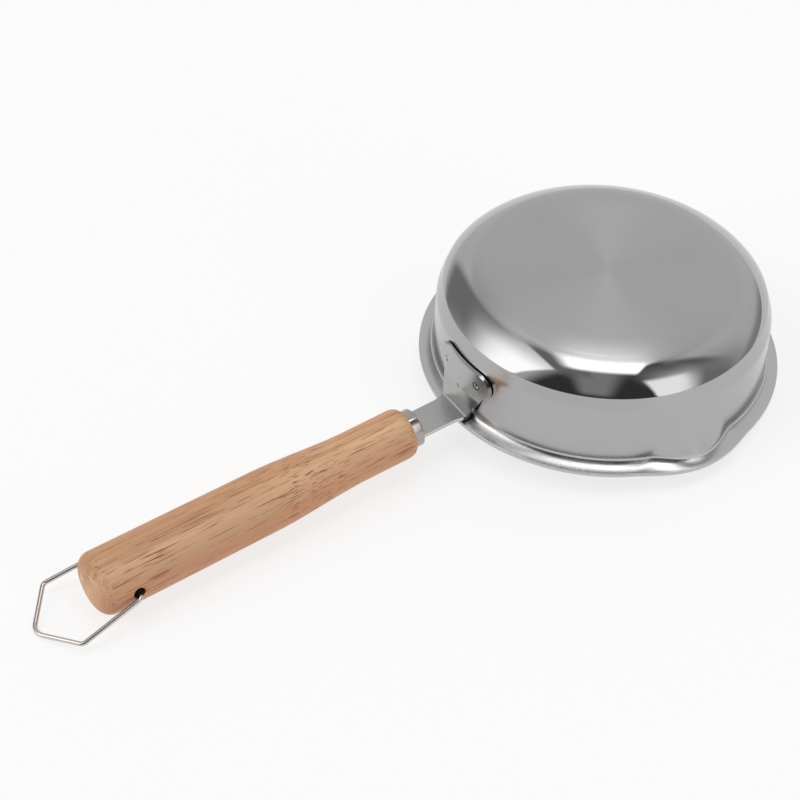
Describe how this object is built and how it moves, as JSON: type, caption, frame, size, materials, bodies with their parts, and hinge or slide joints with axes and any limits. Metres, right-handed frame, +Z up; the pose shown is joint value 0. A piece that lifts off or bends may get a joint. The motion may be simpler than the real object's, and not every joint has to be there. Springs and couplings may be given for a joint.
{
  "type": "frying pan",
  "caption": "Small steel frying pan with pouring spouts, a spot-welded bracket, a turned wooden handle and a wire hanging loop, lying face down.",
  "frame": {"origin": "middle of the underside of the whole pan as it lies face down", "axes": "+Z up, +X from the wooden handle towards the bowl, +Y across the handle"},
  "size_m": [0.397, 0.1818, 0.0639],
  "materials": {
    "satin_steel": "satin base and wall, polished corner and flange",
    "plate_steel": "satin",
    "polished_steel": "polished",
    "oiled_wood": "oiled",
    "steel_wire": "bright drawn"
  },
  "bodies": {
    "pan": {"pan_body": "satin_steel", "handle_bracket": "plate_steel", "ferrule": "polished_steel", "wooden_handle": "oiled_wood"},
    "loop": {"hanging_loop": "steel_wire"}
  },
  "joints": [
    {"name": "loop_hinge", "type": "hinge", "parent": "pan", "child": "loop", "pos_m": [-0.15306, 0, 0.01407], "axis": [0, 1, 0], "range_deg": [-144, 170]}
  ]
}
